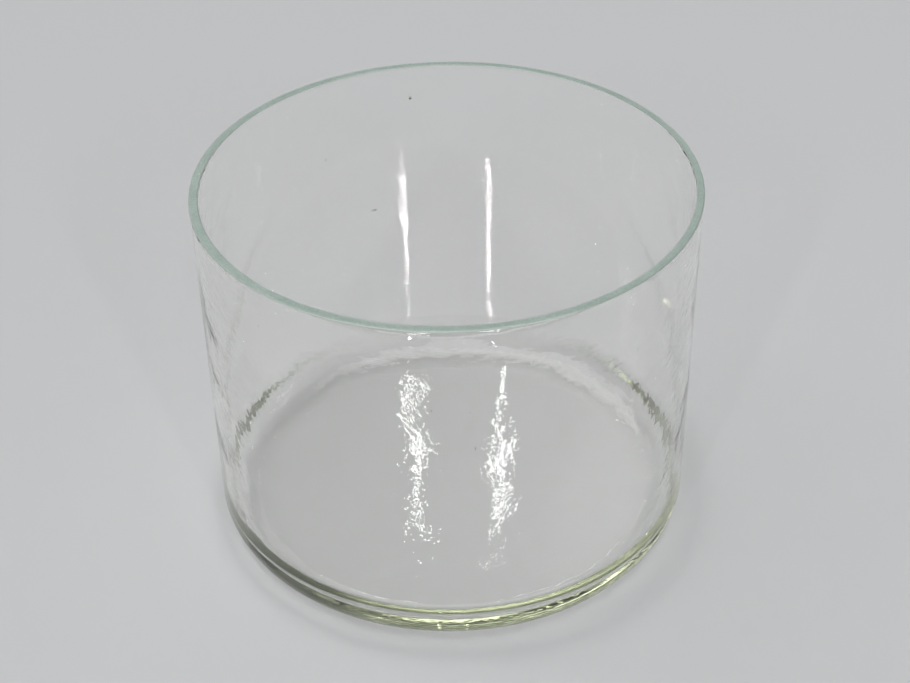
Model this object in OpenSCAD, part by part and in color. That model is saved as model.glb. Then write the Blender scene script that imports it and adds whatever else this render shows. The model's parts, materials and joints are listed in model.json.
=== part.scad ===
// Crystallizing dish: an open, straight-walled round vessel of clear glass, with a flat
// ground rim, a rounded heel and a flat base. It is one piece of glass, drawn as four
// zones that meet face to face. Millimetres, +Z up. The origin is the centre of the
// underside, on the surface that the dish stands on.

/* [Vessel] */
// Outer diameter of the wall
outer_d = 190; // [120:1:300]
// Height from the underside to the top of the rim
dish_h = 146; // [60:1:240]

/* [Glass] */
// Thickness of the wall
wall_t = 3.2; // [2:0.1:6]
// Thickness of the floor
floor_t = 6.5; // [3:0.1:12]

/* [Heel] */
// Radius of the rounded heel on the outside
heel_r = 12; // [4:0.5:20]
// Radius of the hollow where the floor turns up into the wall
inner_heel_r = 13; // [4:0.5:20]

/* [Rim] */
// Depth of the ground zone below the top of the rim
ground_h = 2; // [1.2:0.1:6]
// Width of the bevel ground along the rim's outer edge
outer_bevel = 0.6; // [0.2:0.1:1]
// Width of the bevel ground along the rim's inner edge
inner_bevel = 0.4; // [0.2:0.1:0.9]

/* [Hidden] */
$fn = 144;

outer_r = outer_d / 2;
inner_r = outer_r - wall_t;
base_r = inner_r - inner_heel_r;
heel_top = max(heel_r, floor_t + inner_heel_r);
wall_top = dish_h - ground_h;
clear_glass = [0.80, 0.87, 0.83, 0.45];
ground_glass = [0.62, 0.72, 0.67];

// What a round of radius r leaves of a square corner: the corner is at the origin and
// the round lies towards +X and +Y
module corner_waste(r) {
    difference() {
        square(r);
        translate([r, r]) circle(r);
    }
}

// Triangle that a bevel of width w takes off a corner at the origin, below and right of it
module bevel_waste(w) {
    polygon([[0, 0], [w, 0], [0, -w]]);
}

// Outside of the dish in half section: the axis is at the left and the height runs up
module outside_profile() {
    difference() {
        square([outer_r, dish_h]);
        translate([outer_r, 0]) mirror([1, 0]) corner_waste(heel_r);
        translate([outer_r, dish_h]) mirror([1, 0]) bevel_waste(outer_bevel);
    }
}

// The space inside the dish in half section, open at the rim
module inside_profile() {
    difference() {
        translate([0, floor_t]) square([inner_r, dish_h - floor_t]);
        translate([inner_r, floor_t]) mirror([1, 0]) corner_waste(inner_heel_r);
    }
    translate([inner_r, dish_h]) bevel_waste(inner_bevel);
}

// One zone of the glass: the ring of the section between two radii and two heights
module zone(from_r, to_r, from_z, to_z) {
    rotate_extrude() {
        intersection() {
            difference() {
                outside_profile();
                inside_profile();
            }
            translate([from_r, from_z]) square([to_r - from_r, to_z - from_z]);
        }
    }
}

// Top of the wall, ground flat and bevelled along both edges
module ground_rim() {
    color(ground_glass) zone(inner_r, outer_r, wall_top, dish_h);
}

// Straight wall between the heel and the ground rim
module wall() {
    color(clear_glass) zone(inner_r, outer_r, heel_top, wall_top);
}

// Thick rounded ring where the floor turns up into the wall
module heel() {
    color(clear_glass) zone(base_r, outer_r, 0, heel_top);
}

// Flat disc of the floor, inside the heel
module base() {
    color(clear_glass) zone(0, base_r, 0, floor_t);
}

ground_rim();
wall();
heel();
base();
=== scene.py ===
"""Crystallizing dish: one piece of clear, faintly green glass with a flat ground rim."""
import json
import math

import bmesh
import bpy
from mathutils import Matrix, Vector, noise


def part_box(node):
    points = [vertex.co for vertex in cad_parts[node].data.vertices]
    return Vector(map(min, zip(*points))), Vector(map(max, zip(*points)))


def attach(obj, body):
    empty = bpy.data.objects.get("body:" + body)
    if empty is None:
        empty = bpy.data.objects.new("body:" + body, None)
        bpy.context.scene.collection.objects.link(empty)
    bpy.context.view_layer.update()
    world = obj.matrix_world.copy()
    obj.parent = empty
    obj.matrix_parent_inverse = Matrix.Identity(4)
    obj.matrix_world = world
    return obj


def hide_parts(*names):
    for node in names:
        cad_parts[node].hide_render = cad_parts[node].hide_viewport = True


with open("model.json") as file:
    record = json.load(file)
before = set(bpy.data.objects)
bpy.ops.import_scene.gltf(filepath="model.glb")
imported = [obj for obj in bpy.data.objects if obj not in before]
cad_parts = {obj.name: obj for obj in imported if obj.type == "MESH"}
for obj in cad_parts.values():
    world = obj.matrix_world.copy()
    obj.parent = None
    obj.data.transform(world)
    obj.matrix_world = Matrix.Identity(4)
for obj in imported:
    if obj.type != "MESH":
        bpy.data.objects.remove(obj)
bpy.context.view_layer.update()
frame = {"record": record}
MM = 0.001

# Sizes that the frame gives
MOUNTS = {mount["name"]: mount for mount in frame["record"]["mounts"]}
OUTER_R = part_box("wall")[1].x
INNER_R = MOUNTS["inside_wall"]["dims"]["r_mm"] * MM
DISH_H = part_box("ground_rim")[1].z
FLOOR_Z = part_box("base")[1].z
INNER_HEEL_R = INNER_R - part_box("base")[1].x
MIDDLE_R = (OUTER_R + INNER_R) / 2

# Sizes of the outline that no box shows
HEEL_R = 12 * MM
OUTER_BEVEL = 0.6 * MM
INNER_BEVEL = 0.4 * MM

# The mesh
TURN_STEPS = 360
ROW_STEP = 2.5 * MM
ARC_SEGMENTS = 16
BEVEL_SEGMENTS = 3
SEED_SUBDIVISIONS = 2
MERGE = 0.001 * MM

# Heights above which a face is ground, and above which it is the flat top of the rim
RIM_Z = DISH_H - 1.1 * OUTER_BEVEL
RIM_TOP_Z = DISH_H - 0.01 * MM

# Blown glass is never quite true: width of a wave, then its depth on the floor and on the wall
WAVES = [
    (42 * MM, 0.09 * MM, 0.20 * MM),
    (13 * MM, 0.02 * MM, 0.07 * MM),
]
WAVE_OFFSET = 7.3
FADE = 12 * MM
INSIDE_SHIFT = 0.35 * MM
NICK_DEPTH = 0.16 * MM
NICK_LENGTH = 5 * MM

# Ripples: widths round the dish and up it, detail, then depths on floor and wall in millimetres
RIPPLES = [
    (25 * MM, 1.5 * MM, 2.0, 0.003, 0.003),
    (6.5 * MM, 6.5 * MM, 2.0, 0.009, 0.009),
    (9.0 * MM, 6.0 * MM, 2.0, 0.0, 0.07),
    (1.6 * MM, 1.6 * MM, 0.0, 0.004, 0.008),
]

# Seeds, which are small bubbles: turn in degrees, then height, how tall and how wide in millimetres
SEEDS = [
    (99, 131, 1.4, 1.2),
    (110, 79, 0.8, 2.6),
    (123, 110, 0.7, 0.6),
    (-94, 112, 0.5, 0.5),
    (-86, 111, 0.5, 0.4),
    (-85, 95, 1.6, 0.3),
    (-134, 130, 0.6, 0.5),
    (-137, 131, 0.4, 0.4),
    (-37, 116, 0.5, 0.4),
    (-30, 102, 0.5, 0.5),
    (-46, 117, 0.6, 0.4),
    (-52, 73, 0.7, 0.5),
]

# The clear glass, and the smears in its gloss
GLASS_IOR = 1.52
TINT = (0.78, 0.82, 0.62, 1.0)
TINT_DENSITY = 10.0
SMEAR_WIDTH = 22 * MM
SMEAR_HEIGHT = 30 * MM
SMEAR_DETAIL = 4.0
SMEAR_RANGE = (0.5, 0.75)
SMEAR_ROUGHNESS = 0.02

# The ground rim: colours, grit, specks and clouds, then the roughness of its edge and what adds to it
GROUND_DARK = (0.38, 0.50, 0.44)
GROUND_PALE = (0.54, 0.64, 0.59)
GROUND_EDGE = (0.62, 0.72, 0.66)
GROUND_CLEARNESS = 0.35
GRIT_WIDTH = 0.35 * MM
GRIT_DETAIL = 3.0
GRIT_DEPTH = 0.1 * MM
GRIT_STRENGTH = 0.7
SPECK_WIDTH = 0.9 * MM
SPECK_RANGE = (0.4, 0.6)
CLOUD_WIDTH = 12 * MM
CLOUD_RANGE = (0.35, 0.65)
CLOUD_SHARE = 0.4
EDGE_ROUGHNESS = 0.3
TOP_ROUGHNESS = 0.15
GRIT_ROUGHNESS = 0.2

# The floor and its upturned edge
FLOOR_COLOUR = (0.54, 0.545, 0.55, 1.0)
FLOOR_ROUGHNESS = 0.9
FLOOR_DROP = 0.1 * MM
COVE_R = 10.0
COVE_H = 4.2
COVE_BEND = 4.0
COVE_STEPS = 96
COVE_SEGMENTS = 12

# Round far lamps: turn, rise and width in degrees, and power
PANELS = {
    "overhead_panel": (-75, 75, 76, 2.35),
    "left_panel": (-75, 30, 14, 0.11),
    "right_panel": (80, 25, 13, 0.10),
}

# Thin lamps in pairs: turn and rise in degrees, distance, width and height, and brightness
THIN_LAMPS = {
    "back_tube": (2.7, 38.5, 2.17, (0.008, 0.30), 15.0),
    "front_strip": (158, 31, 2.4, (0.05, 0.30), 110.0),
}
WORLD_COLOUR = (0.13, 0.13, 0.135, 1.0)

# Bounces for light that runs on inside the glass
GLASS_BOUNCES = 32
MIRROR_BOUNCES = 24

# The camera's place in the photograph
PHOTO_W = 910
FOCAL_PX = 1704
RIM_DISTANCE = 0.6332
RIM_ELEVATION = math.radians(31.05)
CAMERA_YAW = math.radians(0.23)
CAMERA_PITCH = math.radians(36.47)
CAMERA_ROLL = math.radians(-0.97)
SENSOR_W = 36.0


class Wire:
    """An output socket of a node tree. Sums and products of wires add Math nodes."""

    def __init__(self, tree, socket=None):
        self.tree = tree
        self.socket = socket

    def node(self, kind, settings=None, inputs=None, output=0):
        """Adds a node: its settings first, then a value or a wire for each input."""
        made = self.tree.nodes.new(kind)
        for name, value in (settings or {}).items():
            setattr(made, name, value)
        for name, value in (inputs or {}).items():
            if isinstance(value, Wire):
                self.tree.links.new(value.socket, made.inputs[name])
            else:
                made.inputs[name].default_value = value
        return Wire(self.tree, made.outputs[output] if made.outputs else None)

    def math(self, operation, first, second):
        return self.node("ShaderNodeMath", {"operation": operation}, {0: first, 1: second})

    def __add__(self, other):
        return self.math("ADD", self, other)

    def __mul__(self, other):
        return self.math("MULTIPLY", self, other)

    __radd__ = __add__
    __rmul__ = __mul__


def new_material(name):
    made = bpy.data.materials.new(name)
    made.use_nodes = True
    made.node_tree.nodes.clear()
    return made, Wire(made.node_tree)


def place_on(tree):
    return tree.node("ShaderNodeTexCoord", output="Object")


def height_on(tree):
    return tree.node("ShaderNodeSeparateXYZ", None, {0: place_on(tree)}, output="Z")


def grain(tree, across, along, detail=2.0):
    """Noise whose patches have these widths round the dish and up it."""
    scaled = tree.node("ShaderNodeMapping", None, {
        "Vector": place_on(tree), "Scale": (1 / across, 1 / across, 1 / along)})
    return tree.node("ShaderNodeTexNoise", None,
                     {"Vector": scaled, "Scale": 1.0, "Detail": detail})


def between(tree, value, low, high):
    """0 below low, 1 above high, and an even slope between."""
    return tree.node("ShaderNodeMapRange", {"clamp": True},
                     {"Value": value, "From Min": low, "From Max": high})


def blend(tree, share, first, second):
    """One colour where the share is 0 and the other where it is 1."""
    ends = [end if isinstance(end, Wire) else (*end, 1.0) for end in (first, second)]
    return tree.node("ShaderNodeMix", {"data_type": "RGBA"},
                     {0: share, 6: ends[0], 7: ends[1]}, output=2)


def rippled(tree):
    """The normal of the clear glass with its ripples, which are deeper on the wall."""
    on_wall = between(tree, height_on(tree), FLOOR_Z, FLOOR_Z + INNER_HEEL_R)
    height = 0.0
    for across, along, detail, floor_depth, wall_depth in RIPPLES:
        depth = on_wall * (wall_depth - floor_depth) + floor_depth
        height = height + grain(tree, across, along, detail) * depth
    return tree.node("ShaderNodeBump", None,
                     {"Strength": 1.0, "Distance": MM, "Height": height})


def clear_glass():
    """Clear tinted glass with ripples, and with faint smears in its gloss."""
    made, tree = new_material("blown_glass")
    smear = between(tree, grain(tree, SMEAR_WIDTH, SMEAR_HEIGHT, SMEAR_DETAIL), *SMEAR_RANGE)
    surface = tree.node("ShaderNodeBsdfPrincipled", None, {
        "Base Color": (1.0, 1.0, 1.0, 1.0),
        "Roughness": smear * SMEAR_ROUGHNESS,
        "IOR": GLASS_IOR,
        "Transmission Weight": 1.0,
        "Normal": rippled(tree),
    })
    volume = tree.node("ShaderNodeVolumeAbsorption", None,
                       {"Color": TINT, "Density": TINT_DENSITY})
    tree.node("ShaderNodeOutputMaterial", None, {"Surface": surface, "Volume": volume})
    return made


def ground_glass():
    """Satin glass: mottled on the flat top, paler and smoother along its two edges."""
    made, tree = new_material("ground_rim_glass")
    grit = grain(tree, GRIT_WIDTH, GRIT_WIDTH, GRIT_DETAIL)
    cloud = between(tree, grain(tree, CLOUD_WIDTH, CLOUD_WIDTH), *CLOUD_RANGE)
    speck = between(tree, grain(tree, SPECK_WIDTH, SPECK_WIDTH), *SPECK_RANGE)
    flat = between(tree, height_on(tree), DISH_H - OUTER_BEVEL / 2, DISH_H - OUTER_BEVEL / 8)
    mottle = cloud * CLOUD_SHARE + speck * (1 - CLOUD_SHARE)
    ground = blend(tree, mottle, GROUND_DARK, GROUND_PALE)
    bump = tree.node("ShaderNodeBump", None,
                     {"Strength": GRIT_STRENGTH, "Distance": GRIT_DEPTH, "Height": grit})
    surface = tree.node("ShaderNodeBsdfPrincipled", None, {
        "Base Color": blend(tree, flat, GROUND_EDGE, ground),
        "Roughness": EDGE_ROUGHNESS + flat * TOP_ROUGHNESS + grit * GRIT_ROUGHNESS,
        "IOR": GLASS_IOR,
        "Transmission Weight": GROUND_CLEARNESS,
        "Normal": bump,
    })
    tree.node("ShaderNodeOutputMaterial", None, {"Surface": surface})
    return made


def outline(corners, rounds):
    """A line through corners at radius and height, with a rounding for each inner corner."""
    bm = bmesh.new()
    verts = [bm.verts.new((radius, 0, height)) for radius, height in corners]
    for one, other in zip(verts, verts[1:]):
        bm.edges.new((one, other))
    for vert, (radius, segments) in zip(verts[1:-1], rounds):
        bmesh.ops.bevel(bm, geom=[vert], offset=radius, offset_type="OFFSET",
                        segments=segments, profile=0.5, affect="VERTICES", material=-1)
    return bm


def turn_round(bm, steps):
    """Turns a line round the Z axis into a surface whose normals point outwards."""
    bmesh.ops.spin(bm, geom=bm.verts[:] + bm.edges[:], cent=(0, 0, 0), axis=(0, 0, 1),
                   angle=math.tau, steps=steps, use_merge=True)
    bmesh.ops.remove_doubles(bm, verts=bm.verts, dist=MERGE)
    bmesh.ops.recalc_face_normals(bm, faces=bm.faces)


def turned_dish():
    corners = [(0, 0), (OUTER_R, 0), (OUTER_R, DISH_H), (INNER_R, DISH_H),
               (INNER_R, FLOOR_Z), (0, FLOOR_Z)]
    rounds = [(HEEL_R, ARC_SEGMENTS), (OUTER_BEVEL, BEVEL_SEGMENTS),
              (INNER_BEVEL, BEVEL_SEGMENTS), (INNER_HEEL_R, ARC_SEGMENTS)]
    bm = outline(corners, rounds)
    for edge in bm.edges[:]:
        cuts = int(edge.calc_length() / ROW_STEP)
        if cuts:
            bmesh.ops.subdivide_edges(bm, edges=[edge], cuts=cuts)
    turn_round(bm, TURN_STEPS)
    return bm


def lowest(face):
    return min(vert.co.z for vert in face.verts)


def is_inside(point):
    """Whether a point of the surface faces the hollow and not the outside."""
    return point.z >= FLOOR_Z and math.hypot(point.x, point.y) < INNER_R + INNER_BEVEL


def ramp(value, length):
    return min(max(value / length, 0.0), 1.0)


def swell(point, inside):
    """How far the glass stands out of true at a point, never outwards on the outside."""
    on_wall = ramp(point.z - FLOOR_Z, INNER_HEEL_R)
    offset = Vector((0, 0, WAVE_OFFSET if inside else -WAVE_OFFSET))
    total = 0.0
    for width, floor_depth, wall_depth in WAVES:
        depth = floor_depth + (wall_depth - floor_depth) * on_wall
        wave = noise.noise(point / width + offset)
        total += depth * (wave if inside else (wave - 1) / 2)
    return total


def blow(bm):
    """Bends the walls and the floor a little out of true."""
    bm.normal_update()
    for vert in bm.verts:
        point = vert.co.copy()
        inside = is_inside(point)
        hold = ramp(DISH_H - point.z, FADE) * (1.0 if inside else ramp(point.z, FADE))
        vert.co += vert.normal * (hold * swell(point, inside))
        if inside:
            vert.co.x += INSIDE_SHIFT


def nick(bm):
    """Wears the two ground edges of the rim unevenly."""
    for vert in bm.verts:
        if RIM_Z < vert.co.z < RIM_TOP_Z:
            wear = max(noise.noise(vert.co / NICK_LENGTH), 0.0)
            vert.co -= vert.normal * (NICK_DEPTH * wear)


def add_seeds(bm):
    """Small bubbles shut in the wall, drawn out up it or round it."""
    for turn, height, tall, wide in SEEDS:
        thick = min(tall, wide)
        place = (Matrix.Rotation(math.radians(turn), 4, "Z")
                 @ Matrix.Translation((MIDDLE_R, 0, height * MM))
                 @ Matrix.Diagonal((thick * MM, wide * MM, tall * MM, 1.0)))
        ball = bmesh.ops.create_icosphere(bm, subdivisions=SEED_SUBDIVISIONS, radius=1 / 2,
                                          matrix=place)
        faces = {face for vert in ball["verts"] for face in vert.link_faces}
        bmesh.ops.reverse_faces(bm, faces=list(faces))


def new_object(name, bm, materials):
    mesh = bpy.data.meshes.new(name)
    bm.to_mesh(mesh)
    bm.free()
    for material in materials:
        mesh.materials.append(material)
    made = bpy.data.objects.new(name, mesh)
    bpy.context.scene.collection.objects.link(made)
    return made


def make_dish():
    bm = turned_dish()
    for face in bm.faces:
        face.material_index = int(lowest(face) > RIM_Z)
    blow(bm)
    nick(bm)
    add_seeds(bm)
    for face in bm.faces:
        face.smooth = lowest(face) < RIM_TOP_Z
    made = new_object("dish", bm, [clear_glass(), ground_glass()])
    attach(made, "root")
    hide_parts("ground_rim", "wall", "heel", "base")


def floor_paint():
    made, tree = new_material("floor")
    surface = tree.node("ShaderNodeBsdfPrincipled", None, {
        "Base Color": FLOOR_COLOUR, "Roughness": FLOOR_ROUGHNESS, "Specular IOR Level": 0.0})
    tree.node("ShaderNodeOutputMaterial", None, {"Surface": surface})
    return made


def make_floor():
    """A pale floor that turns up into a low wall far off, on all sides."""
    corners = [(0, -FLOOR_DROP), (COVE_R, -FLOOR_DROP), (COVE_R, COVE_H)]
    bm = outline(corners, [(COVE_BEND, COVE_SEGMENTS)])
    turn_round(bm, COVE_STEPS)
    bmesh.ops.reverse_faces(bm, faces=bm.faces)
    for face in bm.faces:
        face.smooth = True
    new_object("floor", bm, [floor_paint()])


def make_camera():
    data = bpy.data.cameras.new("camera")
    data.sensor_width = SENSOR_W
    data.lens = FOCAL_PX * SENSOR_W / PHOTO_W
    made = bpy.data.objects.new("camera", data)
    bpy.context.scene.collection.objects.link(made)
    place = Vector((0, -RIM_DISTANCE * math.cos(RIM_ELEVATION),
                    DISH_H + RIM_DISTANCE * math.sin(RIM_ELEVATION)))
    made.matrix_world = (Matrix.Translation(place)
                         @ Matrix.Rotation(-CAMERA_YAW, 4, "Z")
                         @ Matrix.Rotation(math.pi / 2 - CAMERA_PITCH, 4, "X")
                         @ Matrix.Rotation(CAMERA_ROLL, 4, "Z"))
    bpy.context.scene.camera = made


def place_light(data, turn, rise, distance):
    """Puts a lamp so that it faces the dish. Turn runs from +Y towards +X, rise from the floor."""
    made = bpy.data.objects.new(data.name, data)
    bpy.context.scene.collection.objects.link(made)
    made.matrix_world = (Matrix.Translation((0, 0, DISH_H / 2))
                         @ Matrix.Rotation(-math.radians(turn), 4, "Z")
                         @ Matrix.Rotation(math.radians(rise) - math.pi / 2, 4, "X")
                         @ Matrix.Translation((0, 0, distance)))


def make_panel(name, turn, rise, width, power):
    """A round far lamp, which lights the floor as evenly far off as it does by the dish."""
    data = bpy.data.lights.new(name, "SUN")
    data.angle = math.radians(width)
    data.energy = power
    place_light(data, turn, rise, 0.0)


def make_lamp(name, turn, rise, distance, size, brightness):
    """A flat lamp, as bright all over as is stated."""
    data = bpy.data.lights.new(name, "AREA")
    data.shape = "RECTANGLE"
    data.size, data.size_y = size
    data.energy = brightness * math.pi * data.size * data.size_y
    place_light(data, turn, rise, distance)


def make_light():
    for name, panel in PANELS.items():
        make_panel(name, *panel)
    for name, (turn, *lamp) in THIN_LAMPS.items():
        make_lamp("left_" + name, -turn, *lamp)
        make_lamp("right_" + name, turn, *lamp)
    world = bpy.data.worlds.new("studio")
    bpy.context.scene.world = world
    world.use_nodes = True
    world.node_tree.nodes["Background"].inputs["Color"].default_value = WORLD_COLOUR


def set_up_render():
    """Standard colours, and nothing that dims what is seen through the glass or mirrored in it."""
    scene = bpy.context.scene
    scene.view_settings.view_transform = "Standard"
    scene.cycles.max_bounces = GLASS_BOUNCES
    scene.cycles.transmission_bounces = GLASS_BOUNCES
    scene.cycles.glossy_bounces = MIRROR_BOUNCES
    scene.cycles.blur_glossy = 0.0
    scene.cycles.sample_clamp_indirect = 0.0


set_up_render()
make_camera()
make_dish()
make_floor()
make_light()
